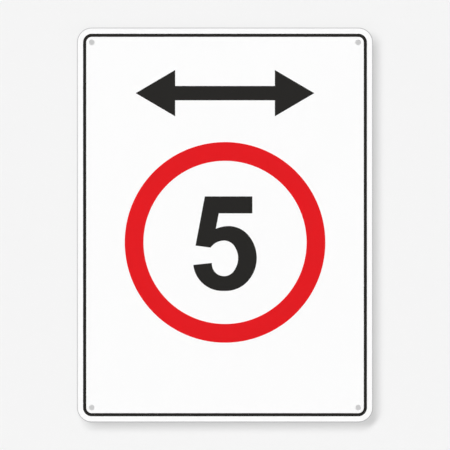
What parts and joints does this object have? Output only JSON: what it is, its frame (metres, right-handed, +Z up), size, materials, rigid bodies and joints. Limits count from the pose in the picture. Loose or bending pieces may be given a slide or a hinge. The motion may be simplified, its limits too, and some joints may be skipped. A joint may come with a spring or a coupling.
{
  "type": "speed limit sign",
  "caption": "Flat upright sign: white round-cornered plastic plate with a red ring, a black figure, an arrow and a border line cut from film, drilled for fixing.",
  "frame": {"origin": "middle of the back face of the plate, which is the middle of the four fixing holes", "axes": "+Z up along the plate's long side, +Y out of the back towards the wall or rail, so the sign faces -Y, +X to the right as seen from the front"},
  "size_m": [0.3, 0.0031, 0.4],
  "materials": {
    "plate": "smooth satin sheet with a sawn and bevelled edge",
    "black_film": "cut self-adhesive film",
    "red_film": "cut self-adhesive film"
  },
  "bodies": {
    "root": {"sign_plate": "plate", "border_line": "black_film", "limit_ring": "red_film", "limit_figure": "black_film", "direction_arrow": "black_film"}
  },
  "joints": []
}
